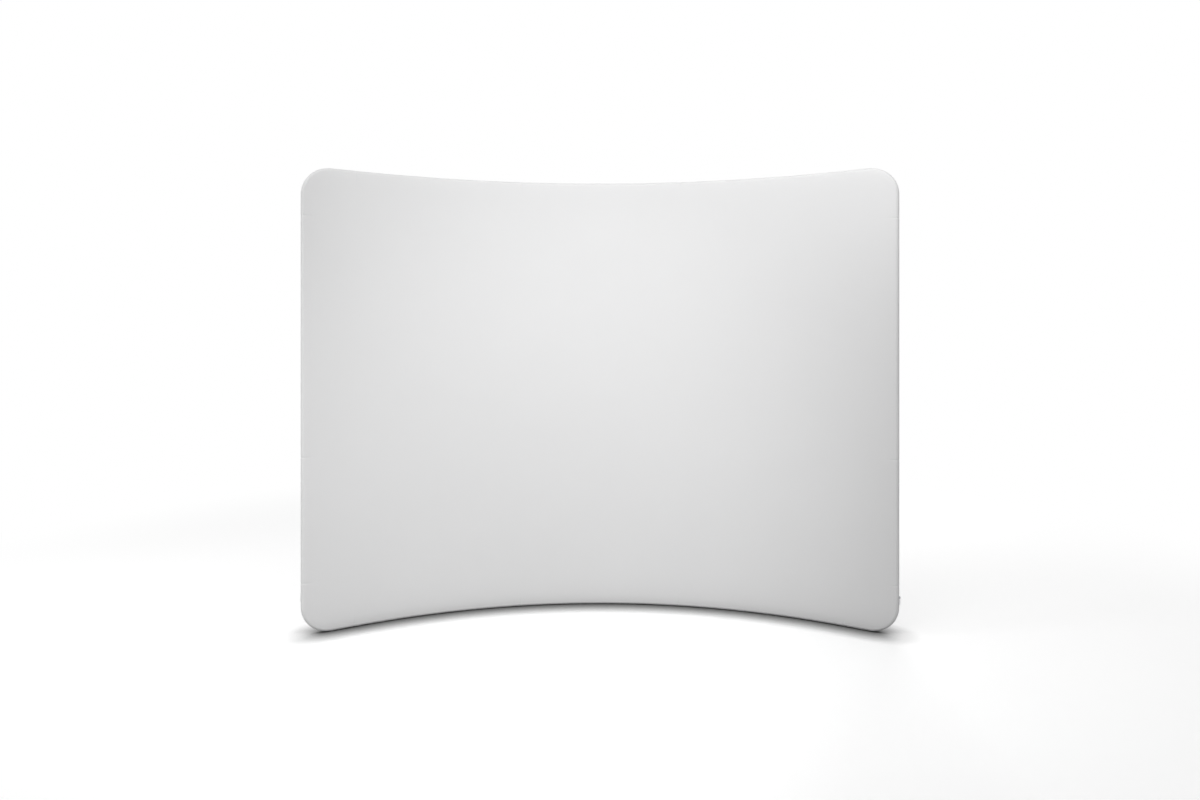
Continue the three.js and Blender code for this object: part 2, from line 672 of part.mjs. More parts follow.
// A flat tab that hangs from its crossbar in the eye of the slider.
function pullGeometry() {
  const half = PULL_HALF_WIDTH;
  const top = PULL_CROSSBAR / 2;
  const tab = new THREE.Shape();
  tab.moveTo(-half, top);
  tab.lineTo(-half, half - PULL_LENGTH);
  tab.absarc(0, half - PULL_LENGTH, half, Math.PI, 2 * Math.PI, false);
  tab.lineTo(half, top);
  tab.closePath();
  const inner = BRIDGE_HALF_WIDTH + PULL_SLOT_CLEARANCE;
  const slot = new THREE.Path();
  slot.moveTo(-inner, -top);
  slot.lineTo(inner, -top);
  slot.lineTo(inner, -top - PULL_SLOT_LENGTH);
  slot.lineTo(-inner, -top - PULL_SLOT_LENGTH);
  slot.closePath();
  tab.holes.push(slot);
  const options = { depth: PULL_THICKNESS, bevelEnabled: false, curveSegments: 6 };
  const plate = new THREE.ExtrudeGeometry(tab, options);
  plate.translate(0, 0, -PULL_THICKNESS / 2);
  return plate.rotateX(Math.PI / 2);
}

const slider = add("zip_slider", sliderGeometry(), ZIP_METAL);
const pull = add("zip_pull", pullGeometry(), ZIP_METAL);
pull.position.y = PULL_AXIS;
sliderFrame.add(slider, pull);

export default backwall;
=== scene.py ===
"""Curved display backwall: a stretched fabric cover, zipped over a loop of plugged tubes."""

import json
import math
from collections import namedtuple

import bmesh
import bpy
from bpy.props import FloatProperty, FloatVectorProperty, PointerProperty
from mathutils import Matrix, Vector


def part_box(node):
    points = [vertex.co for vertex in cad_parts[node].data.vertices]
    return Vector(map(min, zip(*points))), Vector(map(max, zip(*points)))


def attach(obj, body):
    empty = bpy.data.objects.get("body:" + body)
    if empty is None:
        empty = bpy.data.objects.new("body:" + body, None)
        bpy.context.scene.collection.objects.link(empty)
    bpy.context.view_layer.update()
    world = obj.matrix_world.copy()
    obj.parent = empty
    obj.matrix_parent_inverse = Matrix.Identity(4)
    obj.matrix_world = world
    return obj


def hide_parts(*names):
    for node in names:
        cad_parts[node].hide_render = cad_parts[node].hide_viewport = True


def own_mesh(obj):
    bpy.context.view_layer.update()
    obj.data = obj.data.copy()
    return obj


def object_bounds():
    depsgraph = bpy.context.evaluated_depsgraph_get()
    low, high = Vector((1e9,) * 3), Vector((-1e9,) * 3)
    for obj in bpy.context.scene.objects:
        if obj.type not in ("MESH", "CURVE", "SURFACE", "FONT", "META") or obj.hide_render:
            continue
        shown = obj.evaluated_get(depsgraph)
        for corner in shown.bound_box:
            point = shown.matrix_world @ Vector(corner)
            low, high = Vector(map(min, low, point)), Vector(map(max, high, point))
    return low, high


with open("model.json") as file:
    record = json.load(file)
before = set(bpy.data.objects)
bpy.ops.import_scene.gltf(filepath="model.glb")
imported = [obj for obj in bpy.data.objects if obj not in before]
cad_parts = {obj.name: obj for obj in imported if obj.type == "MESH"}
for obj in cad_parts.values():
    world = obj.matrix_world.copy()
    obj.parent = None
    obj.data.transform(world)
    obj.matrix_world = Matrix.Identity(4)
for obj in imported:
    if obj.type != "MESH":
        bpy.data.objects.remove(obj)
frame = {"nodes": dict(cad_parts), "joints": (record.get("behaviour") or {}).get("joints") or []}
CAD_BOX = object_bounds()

bl_info = {
    "name": "Curved Display Backwall",
    "version": (1, 0, 0),
    "blender": (4, 5, 0),
    "location": "View3D > Sidebar > Backwall",
    "description": "Builds a curved tension fabric display backwall on its packed frame",
    "category": "Object",
}

LEFT, RIGHT = -1, 1
BOTTOM, TOP = -1, 1
FRONT, BACK = -1, 1
RIGHT_ANGLE = math.pi / 2
UP = Vector((0, 0, 1))
BODY = "backwall"


# ---- Settings ------------------------------------------------------------------------------


def length(name, description, default):
    """A size in metres."""
    return FloatProperty(name=name, description=description, default=default, unit="LENGTH",
                         precision=5, min=0)


def shade(name, description, default):
    """A plain colour."""
    return FloatVectorProperty(name=name, description=description, default=default,
                               subtype="COLOR", size=3, min=0, max=1)


def share(name, description, default):
    """A value from 0 to 1."""
    return FloatProperty(name=name, description=description, default=default, subtype="FACTOR",
                         min=0, max=1)


def power(name, description, default):
    """A lamp's power in watts."""
    return FloatProperty(name=name, description=description, default=default, unit="POWER",
                         min=0)


class WallSizes(bpy.types.PropertyGroup):
    """The line of the tubes, as the frame has it."""

    height: length("Height", "Floor to the seam along the top", CAD_BOX[1].z)
    plan_radius: length("Plan radius", "Centreline of the curved rails, from above", 2.5)
    half_rail: length("Half rail", "Middle of a rail to its last joint, along the curve", 1.29)
    corner_leg: length("Corner leg", "Last rail joint to the upright's centreline", 0.233)
    corner_bend_radius: length("Corner radius", "Centreline of the rounded corner", 0.122)
    rail_inset: length("Rail inset", "Outside of the seam to the tube's centreline", 0.01775)
    lower_joint: length("Lower joint", "Height of the lower joint in each upright", 0.24945)
    middle_joint: length("Middle joint", "Height of the middle joint in each upright", 0.85995)
    joint_neck: length("Joint neck", "Length of a tube's neck beside its joint", 0.012)
    rail_joint: length("Rail joint", "Middle of a rail to its inner joints", 0.43)
    zip_top: length("Zip top", "Height of the ends of the zip", 0.19975)


class FabricLook(bpy.types.PropertyGroup):
    """The cover's two panels and their seam."""

    wrap_radius: length("Wrap radius", "Outside of the cloth, round a tube", 0.01735)
    thickness: length("Thickness", "Of the knitted cloth", 0.0005)
    front_bow: length("Front bow", "Middle of the front panel, forward of the rails", 0.018)
    front_lift: length("Front lift", "How far the front panel springs off the rails", 0.004)
    lift_reach: length("Lift reach", "Distance over which it springs off", 0.022)
    back_draw: length("Back draw", "Back panel, drawn in beside the pole", 0.012)
    seam_half_width: length("Seam half width", "Middle of the seam to a panel's edge", 0.0048)
    seam_gap: length("Seam gap", "Between the seam and a panel's edge", 0.0003)
    joint_dip: length("Joint dip", "Depth of the cloth's dip over a tube joint", 0.0013)
    joint_dip_width: length("Joint dip width", "Half width of that dip", 0.0036)
    joint_dip_fade: length("Joint dip fade", "How far the dip runs on into the face", 0.022)
    stitch: length("Stitch", "Length of one stitch of the seam", 0.0042)
    tab_height: length("Tab height", "Fabric tab over the left end of the zip", 0.036)
    knit_pitch: length("Knit pitch", "Width of one wale of the knit", 0.0009)
    knit_depth: share("Knit depth", "Strength of the knit's relief", 0.35)
    color: shade("Cloth colour", "White knitted polyester", (0.86, 0.86, 0.862))
    thread_color: shade("Thread colour", "Overlock thread", (0.84, 0.84, 0.84))


class ZipLook(bpy.types.PropertyGroup):
    """The zip below the wall, its slider and its pull."""

    tooth_pitch: length("Tooth pitch", "Distance between teeth of one row", 0.0028)
    color: shade("Zip colour", "Tape and moulded teeth", (0.80, 0.80, 0.80))
    slider_color: shade("Slider colour", "Plated slider and pull", (0.36, 0.365, 0.38))


class MetalLook(bpy.types.PropertyGroup):
    """The tubes and their fittings inside the cover."""

    tube_color: shade("Tube colour", "Drawn aluminium", (0.72, 0.73, 0.75))
    spigot_color: shade("Spigot colour", "Cast aluminium", (0.60, 0.61, 0.63))
    button_color: shade("Button colour", "Plated steel", (0.76, 0.77, 0.78))
    spring_color: shade("Spring colour", "Spring steel", (0.50, 0.51, 0.54))


class StageLook(bpy.types.PropertyGroup):
    """Floor, lights and camera."""

    floor_color: shade("Floor colour", "Plain pale floor", (1.0, 1.0, 1.0))
    floor_bounce: share("Floor bounce", "Share of the light that the floor throws back", 0.3)
    floor_lift: FloatProperty(name="Floor lift", description="Brightness of the floor in view",
                              default=1.25, min=0)
    # The contact shadow is painted shade: an ambient occlusion node darkens the floor's colour near
    # the object.
    contact_reach: length("Contact reach", "How far the contact shadow spreads", 0.14)
    contact_depth: FloatProperty(name="Contact depth", description="Darkness of that shadow",
                                 default=2.6, min=0)
    camera_distance: length("Camera distance", "From the origin to the camera", 3.90)
    camera_height: length("Camera height", "Above the floor", 1.4627)
    camera_lens: FloatProperty(name="Lens", description="Focal length in millimetres",
                               default=22.70, min=1)
    camera_shift: FloatProperty(name="Shift", description="Vertical shift of the level camera",
                                default=-0.0546)
    ambient: FloatProperty(name="Ambient", description="Strength of the even light",
                           default=0.6, min=0)
    front_spot: power("Front spot", "Wide soft spot from the front, aimed low", 330)
    overhead: power("Overhead strip", "Long strip light above the front of the wall", 16.5)
    side: power("Side light", "Tall soft light from the left", 37)
    back: power("Back light", "Soft light on the back panel", 60)


GROUPS = {
    "backwall_sizes": WallSizes,
    "backwall_fabric": FabricLook,
    "backwall_zip": ZipLook,
    "backwall_metal": MetalLook,
    "backwall_stage": StageLook,
}


# ---- The line of the tubes -----------------------------------------------------------------

# A station is a point of the tubes' centreline with two directions square to it, out of the
# loop and to the rear of the wall, and its place along the wall from the middle.
Station = namedtuple("Station", "point out rear s")


class TubeLine:
    """Stations along the loop of tubes, in metres."""

    def __init__(self, sizes):
        self.sizes = sizes
        self.half_angle = sizes.half_rail / sizes.plan_radius
        depth = sizes.plan_radius * (1 - math.cos(self.half_angle))
        depth += sizes.corner_leg * math.sin(self.half_angle)
        self.centre_y = depth / 2 - sizes.plan_radius
        self.half_line = sizes.half_rail + sizes.corner_leg
        self.rail_z = {BOTTOM: sizes.rail_inset, TOP: sizes.height - sizes.rail_inset}

    def rail(self, s, level):
        angle = s / self.sizes.plan_radius
        rear = Vector((math.sin(angle), math.cos(angle), 0))
        point = rear * self.sizes.plan_radius
        point += Vector((0, self.centre_y, self.rail_z[level]))
        return Station(point, UP * level, rear, s)

    def leg_direction(self, side):
        """Outward along the straight leg of a corner tube."""
        angle = side * self.half_angle
        return Vector((math.cos(angle), -math.sin(angle), 0)) * side

    def leg(self, side, level, reach):
        """On that leg, a reach away from the last rail joint."""
        end = self.rail(side * self.sizes.half_rail, level)
        s = side * (self.sizes.half_rail + reach)
        return Station(end.point + self.leg_direction(side) * reach, end.out, end.rear, s)

    def bend(self, side, level, turn):
        """Turn 0 is where the rounded corner leaves the straight leg, a right angle the upright."""
        end = self.rail(side * self.sizes.half_rail, level)
        leg = self.leg_direction(side)
        radius = self.sizes.corner_bend_radius
        reach = self.sizes.corner_leg - radius + radius * math.sin(turn)
        point = end.point + leg * reach - end.out * radius * (1 - math.cos(turn))
        out = leg * math.sin(turn) + end.out * math.cos(turn)
        return Station(point, out, end.rear, side * (self.sizes.half_rail + reach))

    def upright(self, side, z):
        station = self.bend(side, BOTTOM, RIGHT_ANGLE)
        return station._replace(point=Vector((*station.point.xy, z)))

    def edge(self, level, steps, bend_steps):
        """Left to right along the bottom or the top, with both rounded corners."""
        turns = [RIGHT_ANGLE * i / bend_steps for i in range(bend_steps + 1)]
        left = [self.bend(LEFT, level, turn) for turn in reversed(turns)]
        leg = self.sizes.corner_leg - self.sizes.corner_bend_radius
        neck = self.sizes.joint_neck
        legs = sorted([neck * k for k in (0.2, 0.35, 0.5, 0.65, 0.8, 1.1)] +
                      [leg * k for k in (0.25, 0.5, 0.75)])
        straight = {side: [self.leg(side, level, x) for x in legs] for side in (LEFT, RIGHT)}
        rail = [self.rail(s, level) for s in steps]
        right = [self.bend(RIGHT, level, turn) for turn in turns]
        return left + straight[LEFT][::-1] + rail + straight[RIGHT] + right


def spread(low, high, step, marks=(), around=()):
    """Values from low to high at most a step apart, closer together round each mark."""
    values = {low, high}
    count = max(1, round((high - low) / step))
    fine = {mark + sign * d for mark in marks for d in (0, *around) for sign in (-1, 1)}
    fine = {value for value in fine if low <= value <= high}
    values |= fine
    for i in range(1, count):
        value = low + (high - low) * i / count
        if all(abs(value - other) > step * 0.45 for other in fine):
            values.add(value)
    return sorted(values)


# ---- Meshes and materials ------------------------------------------------------------------


def link(name, bm, material, body=BODY, sharp=math.radians(38)):
    """Makes the finished bmesh an object at the origin that moves with a body."""
    mesh = bpy.data.meshes.new(name)
    bm.to_mesh(mesh)
    bm.free()
    mesh.materials.append(material)
    mesh.shade_smooth()
    mesh.set_sharp_from_angle(angle=sharp)
    piece = bpy.data.objects.new(name, mesh)
    bpy.context.collection.objects.link(piece)
    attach(piece, body)
    return piece


def add_modifier(piece, kind, **values):
    modifier = piece.modifiers.new(kind.title(), kind)
    for key, value in values.items():
        setattr(modifier, key, value)
    return modifier


def extrude(bm, edges):
    """Extrudes edges. Gives the new vertices, and the new edges that join them."""
    made = bmesh.ops.extrude_edge_only(bm, edges=edges)["geom"]
    verts = [item for item in made if isinstance(item, bmesh.types.BMVert)]
    fresh = set(verts)
    return verts, [item for item in made
                   if isinstance(item, bmesh.types.BMEdge) and set(item.verts) <= fresh]


def sweep(bm, stations, section):
    """Extrudes a closed section, a function that gives a station's points, and caps its ends."""
    mark = bm.verts.layers.int.new("order")
    first = [bm.verts.new(point) for point in section(stations[0])]
    for index, vert in enumerate(first):
        vert[mark] = index
    edges = [bm.edges.new(pair) for pair in zip(first, first[1:] + first[:1])]
    ends = [list(edges)]
    for station in stations[1:]:
        verts, edges = extrude(bm, edges)
        points = section(station)
        for vert in verts:
            vert.co = points[vert[mark]]
    ends.append(edges)
    for rim in ends:
        bmesh.ops.contextual_create(bm, geom=rim)


def block(bm, low, high, bevel=0.0, segments=2):
    """A box between two corners with rounded edges."""
    made = bmesh.ops.create_cube(bm, size=1)["verts"]
    low, high = Vector(low), Vector(high)
    matrix = Matrix.Translation((low + high) / 2) @ Matrix.Diagonal((*(high - low), 1))
    bmesh.ops.transform(bm, matrix=matrix, verts=made)
    if bevel:
        edges = dict.fromkeys(edge for vert in made for edge in vert.link_edges)
        round_edges(bm, edges, bevel, segments)
    return made


def round_edges(bm, edges, radius, segments):
    bmesh.ops.bevel(bm, geom=list(edges), offset=radius, segments=segments, profile=0.5,
                    affect="EDGES", material=-1)


def repeat(unit, places):
    """A bmesh that holds a small shape at each place."""
    small = bpy.data.meshes.new("unit")
    unit.to_mesh(small)
    unit.free()
    bm = bmesh.new()
    for matrix in places:
        moved = small.copy()
        moved.transform(matrix)
        bm.from_mesh(moved)
        bpy.data.meshes.remove(moved)
    bpy.data.meshes.remove(small)
    return bm


def place(bm, matrix):
    bmesh.ops.transform(bm, matrix=matrix, verts=bm.verts)


def outward(bm):
    bmesh.ops.recalc_face_normals(bm, faces=bm.faces)


class Nodes:
    """Adds nodes to a tree from left to right."""

    def __init__(self, tree):
        self.tree = tree

    def add(self, kind, links=(), **values):
        node = self.tree.nodes.new(kind)
        for key, value in values.items():
            if key.startswith("in_"):
                name = key[3:]
                socket = node.inputs[int(name) if name.isdigit() else name.replace("_", " ")]
                socket.default_value = value
            else:
                setattr(node, key, value)
        for name, source in dict(links).items():
            self.tree.links.new(source, node.inputs[name])
        return node

    def math(self, operation, a, b=0.0, clamp=False):
        node = self.tree.nodes.new("ShaderNodeMath")
        node.operation = operation
        node.use_clamp = clamp
        for index, value in enumerate((a, b)):
            if isinstance(value, (int, float)):
                node.inputs[index].default_value = value
            else:
                self.tree.links.new(value, node.inputs[index])
        return node.outputs[0]


def group(name, inputs, outputs):
    """A new shader node group with its input and output nodes."""
    tree = bpy.data.node_groups.new(name, "ShaderNodeTree")
    for socket, kind, default in inputs:
        made = tree.interface.new_socket(name=socket, in_out="INPUT", socket_type=kind)
        if default is not None:
            made.default_value = default
    for socket, kind in outputs:
        tree.interface.new_socket(name=socket, in_out="OUTPUT", socket_type=kind)
    return tree, Nodes(tree), tree.nodes.new("NodeGroupInput"), tree.nodes.new("NodeGroupOutput")


def knit_group():
    """Warp knit: slanted loops in wales, from a UV map in metres."""
    name = "Backwall Knit"
    if name in bpy.data.node_groups:
        return bpy.data.node_groups[name]
    tree, nodes, start, end = group(
        name,
        [("UV", "NodeSocketVector", None), ("Pitch", "NodeSocketFloat", 0.0009)],
        [("Height", "NodeSocketFloat"), ("Tone", "NodeSocketFloat")],
    )
    split = nodes.add("ShaderNodeSeparateXYZ", {"Vector": start.outputs["UV"]})
    turns = nodes.math("DIVIDE", 2 * math.pi, start.outputs["Pitch"])
    across = nodes.math("MULTIPLY", split.outputs["X"], turns)
    along = nodes.math("MULTIPLY", nodes.math("MULTIPLY", split.outputs["Y"], turns), 0.8)
    slant = nodes.math("MULTIPLY", nodes.math("SINE", along), 0.9)
    wale = nodes.math("SINE", nodes.math("ADD", across, slant))
    course = nodes.math("SINE", nodes.math("ADD", along, nodes.math("MULTIPLY", wale, 0.6)))
    height = nodes.math("ADD", nodes.math("MULTIPLY", wale, 0.32),
                        nodes.math("MULTIPLY", course, 0.18))
    height = nodes.math("ADD", height, 0.5)
    fibres = nodes.add("ShaderNodeTexNoise", {"Vector": start.outputs["UV"]},
                       in_Scale=2400.0, in_Detail=2.0)
    height = nodes.math("ADD", height, nodes.math("MULTIPLY", fibres.outputs["Fac"], 0.12))
    tree.links.new(height, end.inputs["Height"])
    # Painted shade: the colour follows the knit's height, a little darker in its grooves and
    # lighter on its loops.
    tone = nodes.math("MULTIPLY", nodes.math("SUBTRACT", height, 0.56), 0.05)
    tree.links.new(nodes.math("ADD", tone, 1.0), end.inputs["Tone"])
    return tree


def mottle_group():
    """Slow, faint change of tone and gloss over a piece, and fine grain, in object space."""
    name = "Backwall Mottle"
    if name in bpy.data.node_groups:
        return bpy.data.node_groups[name]
    tree, nodes, start, end = group(
        name,
        [("Size", "NodeSocketFloat", 0.2), ("Amount", "NodeSocketFloat", 0.02),
         ("Grain", "NodeSocketFloat", 0.001), ("Base", "NodeSocketFloat", 0.5),
         ("Stretch", "NodeSocketVector", (1.0, 1.0, 1.0))],
        [("Tone", "NodeSocketFloat"), ("Roughness", "NodeSocketFloat"),
         ("Height", "NodeSocketFloat")],
    )
    coords = nodes.add("ShaderNodeTexCoord")
    stretched = nodes.add("ShaderNodeVectorMath", operation="MULTIPLY")
    tree.links.new(coords.outputs["Object"], stretched.inputs[0])
    tree.links.new(start.outputs["Stretch"], stretched.inputs[1])
    slow = nodes.add("ShaderNodeTexNoise", {
        "Vector": stretched.outputs[0],
        "Scale": nodes.math("DIVIDE", 1.0, start.outputs["Size"]),
    }, in_Detail=3.0)
    fine = nodes.add("ShaderNodeTexNoise", {
        "Vector": stretched.outputs[0],
        "Scale": nodes.math("DIVIDE", 1.0, start.outputs["Grain"]),
    }, in_Detail=2.0)
    swing = nodes.math("SUBTRACT", slow.outputs["Fac"], 0.5)
    tone = nodes.math("MULTIPLY", swing, start.outputs["Amount"])
    tree.links.new(nodes.math("ADD", nodes.math("MULTIPLY", tone, 2.0), 1.0), end.inputs["Tone"])
    rough = nodes.math("MULTIPLY", nodes.math("SUBTRACT", fine.outputs["Fac"], 0.5), 0.12)
    rough = nodes.math("ADD", nodes.math("ADD", start.outputs["Base"], rough), tone, clamp=True)
    tree.links.new(rough, end.inputs["Roughness"])
    tree.links.new(fine.outputs["Fac"], end.inputs["Height"])
    return tree


def tinted(nodes, color, tone):
    """The colour times a tone that changes over the surface."""
    scaled = nodes.add("ShaderNodeVectorMath", {"Scale": tone}, operation="SCALE")
    scaled.inputs[0].default_value = color
    return scaled.outputs[0]


def new_material(name):
    material = bpy.data.materials.new(name)
    material.use_nodes = True
    shader = material.node_tree.nodes["Principled BSDF"]
    return material, Nodes(material.node_tree), shader


def cloth_material(name, color, pitch, depth, roughness=0.75):
    """Knitted or woven cloth with a soft sheen and a faint mottle."""
    if name in bpy.data.materials:
        return bpy.data.materials[name]
    material, nodes, shader = new_material(name)
    uv = nodes.add("ShaderNodeTexCoord")
    knit = nodes.add("ShaderNodeGroup", node_tree=knit_group(), in_Pitch=pitch)
    nodes.tree.links.new(uv.outputs["UV"], knit.inputs["UV"])
    mottle = nodes.add("ShaderNodeGroup", node_tree=mottle_group(), in_Size=0.35,
                       in_Amount=0.012, in_Grain=0.004, in_Base=roughness)
    tone = nodes.math("MULTIPLY", knit.outputs["Tone"], mottle.outputs["Tone"])
    nodes.tree.links.new(tinted(nodes, color, tone), shader.inputs["Base Color"])
    nodes.tree.links.new(mottle.outputs["Roughness"], shader.inputs["Roughness"])
    bump = nodes.add("ShaderNodeBump", {"Height": knit.outputs["Height"]},
                     in_Strength=depth, in_Distance=pitch * 0.25)
    nodes.tree.links.new(bump.outputs["Normal"], shader.inputs["Normal"])
    shader.inputs["Specular IOR Level"].default_value = 0.2
    return material


def knitted_cover(look):
    return cloth_material("Knitted cover", look.color, look.knit_pitch, look.knit_depth)


def metal_material(name, color, roughness, grain, stretch=(1.0, 1.0, 1.0), metallic=1.0):
    """Drawn, cast or plated metal with its own grain."""
    material, nodes, shader = new_material(name)
    mottle = nodes.add("ShaderNodeGroup", node_tree=mottle_group(), in_Size=0.04,
                       in_Amount=0.05, in_Grain=grain, in_Base=roughness, in_Stretch=stretch)
    tone = tinted(nodes, color, mottle.outputs["Tone"])
    nodes.tree.links.new(tone, shader.inputs["Base Color"])
    nodes.tree.links.new(mottle.outputs["Roughness"], shader.inputs["Roughness"])
    bump = nodes.add("ShaderNodeBump", {"Height": mottle.outputs["Height"]},
                     in_Strength=0.12, in_Distance=0.0002)
    nodes.tree.links.new(bump.outputs["Normal"], shader.inputs["Normal"])
    shader.inputs["Metallic"].default_value = metallic
    return material


# ---- Fabric panels -------------------------------------------------------------------------


class Cloth:
    """Shape of the stretched cover over the tubes."""

    steps_round_tube = 18
    bend_steps = 24
    grid_step = 0.03

    def __init__(self, scene):
        self.sizes = sizes = scene.backwall_sizes
        self.look = scene.backwall_fabric
        self.line = TubeLine(sizes)
        low = self.line.rail_z[BOTTOM] + sizes.corner_bend_radius
        high = self.line.rail_z[TOP] - sizes.corner_bend_radius
        self.low, self.high = low, high
        joint, half = sizes.rail_joint, sizes.half_rail
        self.rail_joints = [-half, -joint, joint, half]
        top_joint = sizes.height - sizes.lower_joint
        self.side_joints = [sizes.lower_joint, sizes.middle_joint, top_joint]
        width = self.look.joint_dip_width
        around = [width * k for k in (0.35, 0.7, 1.1, 1.6, 2.3)]
        neck = sizes.joint_neck / 2
        ends = [[s + side * neck for s in joints for side in (LEFT, RIGHT)]
                for joints in (self.rail_joints[1:-1], self.side_joints)]
        last = [half - neck, half, neck - half, -half]
        self.steps = spread(-half, half, self.grid_step, [*ends[0], *last], around)
        # Beside the rounded corners the rows crowd together, up to a little below the joint.
        self.flare = sizes.lower_joint - low - 8 * width
        near = [self.flare * k for k in (0.015, 0.035, 0.06, 0.09, 0.13, 0.17, 0.22, 0.28, 0.36,
                                         0.45, 0.57, 0.72, 0.86)]
        heights = spread(low + self.flare, high - self.flare, self.grid_step, ends[1], around)
        self.rows = [low, *[low + d for d in near], *heights, *[high - d for d in near[::-1]], high]

    def edge(self, level):
        """Stations along the bottom or the top, where the columns of the cloth end."""
        return self.line.edge(level, self.steps, self.bend_steps)

    def height(self, low, high, row):
        """Height of a row in a column: level at the joints, and spread out by the rails."""
        from_low = 1 - min(1, (row - self.low) / self.flare)
        from_high = 1 - min(1, (self.high - row) / self.flare)
        return row + (low - self.low) * from_low + (high - self.high) * from_high

    def forward(self, face, s, v, from_rail):
        """How far the cloth lies forward of the rails."""
        across = abs(s) / self.line.half_line
        rise = 4 * v * (1 - v)
        if face == FRONT:
            eased = 1 - math.exp(-from_rail / self.look.lift_reach)
            eased *= 1 - math.exp(-(self.line.half_line - abs(s)) / (2 * self.look.lift_reach))
            bow = self.look.front_bow * (1 - across * across) * rise
            return bow + self.look.front_lift * eased
        drawn = math.sin(math.pi * min(across, 1)) ** 1.15
        return self.look.back_draw * drawn * rise

    def bump(self, distance):
        return math.exp(-((distance / self.look.joint_dip_width) ** 2))

    def dip(self, s, z, from_bottom, from_top, from_upright):
        """Depth of the dips over the necks of the tube joints, at a place on the cover."""
        neck = self.sizes.joint_neck / 2
        bottom, top, upright = (math.exp(-distance / self.look.joint_dip_fade)
                                for distance in (from_bottom, from_top, from_upright))
        depth = 0
        for joint in self.rail_joints:
            depth += self.bump(s - joint + neck) * bottom + self.bump(s - joint - neck) * top
        for joint in self.side_joints:
            depth += self.bump(z - joint + math.copysign(neck, s)) * upright
        return depth * self.look.joint_dip

    def rim_dip(self, station):
        """Depth of those dips round the tube at a station."""
        far = math.inf
        if abs(station.out.z) < 0.7:
            return self.dip(station.s, station.point.z, far, far, 0)
        ends = (0, far) if station.out.z < 0 else (far, 0)
        return self.dip(station.s, station.point.z, *ends, far)


def panel_mesh(cloth, face):
    """A grid laid on the face, its border then extruded round the tubes to the seam."""
    line, look = cloth.line, cloth.look
    bottom, top = cloth.edge(BOTTOM), cloth.edge(TOP)
    columns, rows = len(bottom), len(cloth.rows)
    bm = bmesh.new()
    bmesh.ops.create_grid(bm, x_segments=columns - 1, y_segments=rows - 1, size=1, calc_uvs=False)
    column_of = bm.verts.layers.int.new("column")
    row_of = bm.verts.layers.int.new("row")
    u_of = bm.verts.layers.float.new("u")
    v_of = bm.verts.layers.float.new("v")
    for vert in bm.verts:
        vert[column_of] = round((vert.co.x + 1) / 2 * (columns - 1))
        vert[row_of] = round((vert.co.y + 1) / 2 * (rows - 1))

    def station_of(vert):
        low, high = bottom[vert[column_of]], top[vert[column_of]]
        if vert[row_of] == 0:
            return low, 0
        if vert[row_of] == rows - 1:
            return high, 1
        z = cloth.height(low.point.z, high.point.z, cloth.rows[vert[row_of]])
        side = LEFT if vert[column_of] == 0 else RIGHT
        point = Vector((*low.point.xy, z))
        v = (z - low.point.z) / (high.point.z - low.point.z)
        return Station(point, line.upright(side, 0).out, low.rear, low.s), v

    for vert in bm.verts:
        station, v = station_of(vert)
        low, high = bottom[vert[column_of]].point.z, top[vert[column_of]].point.z
        z = station.point.z
        from_upright = line.half_line - abs(station.s)
        dip = cloth.dip(station.s, z, z - low, high - z, from_upright)
        forward = cloth.forward(face, station.s, v, min(z - low, high - z))
        off = face * (look.wrap_radius - dip) - forward
        vert[u_of] = station.s
        vert[v_of] = z
        vert.co = station.point + station.rear * off
    if face == BACK:
        bmesh.ops.reverse_faces(bm, faces=bm.faces)

    end = math.asin((look.seam_half_width + look.seam_gap) / look.wrap_radius)
    edges = [edge for edge in bm.edges if edge.is_boundary]
    for step in range(1, cloth.steps_round_tube + 1):
        verts, edges = extrude(bm, edges)
        angle = RIGHT_ANGLE + (end - RIGHT_ANGLE) * step / cloth.steps_round_tube
        for vert in verts:
            station, _ = station_of(vert)
            radius = look.wrap_radius - cloth.rim_dip(station)
            run = look.wrap_radius * (RIGHT_ANGLE - angle)
            sideways = station.out.dot(line.upright(LEFT if station.s < 0 else RIGHT, 0).out)
            vert[u_of] = station.s + math.copysign(run * sideways, station.s)
            vert[v_of] = station.point.z + run * station.out.z
            vert.co = station.point + station.out * (radius * math.cos(angle))
            vert.co += station.rear * (face * radius * math.sin(angle))
    uv = bm.loops.layers.uv.new("UVMap")
    for surface in bm.faces:
        for loop in surface.loops:
            loop[uv].uv = (loop.vert[u_of], loop.vert[v_of])
    return bm


class BACKWALL_OT_fabric_panels(bpy.types.Operator):
    """Stretches the front and the back panel of the cover over the tubes"""

    bl_idname = "backwall.fabric_panels"
    bl_label = "Fabric Panels"

    def execute(self, context):
        cloth = Cloth(context.scene)
        look = cloth.look
        material = knitted_cover(look)
        for name, face in (("fabric_front", FRONT), ("fabric_back", BACK)):
            piece = link(name + "_panel", panel_mesh(cloth, face), material)
            add_modifier(piece, "SOLIDIFY", thickness=look.thickness, offset=-1)
            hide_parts(name)
        return {"FINISHED"}


# ---- Seam ----------------------------------------------------------------------------------


def seam_run(cloth):
    """Up the right side from the zip, back along the top and down the left side."""
    line, top = cloth.line, cloth.sizes.zip_top + cloth.look.seam_gap
    sides = [z for z in cloth.rows[1:-1] if z > top]
    run = [line.upright(RIGHT, z) for z in [top, *sides]]
    run += cloth.edge(TOP)[::-1]
    return run + [line.upright(LEFT, z) for z in [*sides[::-1], top]]


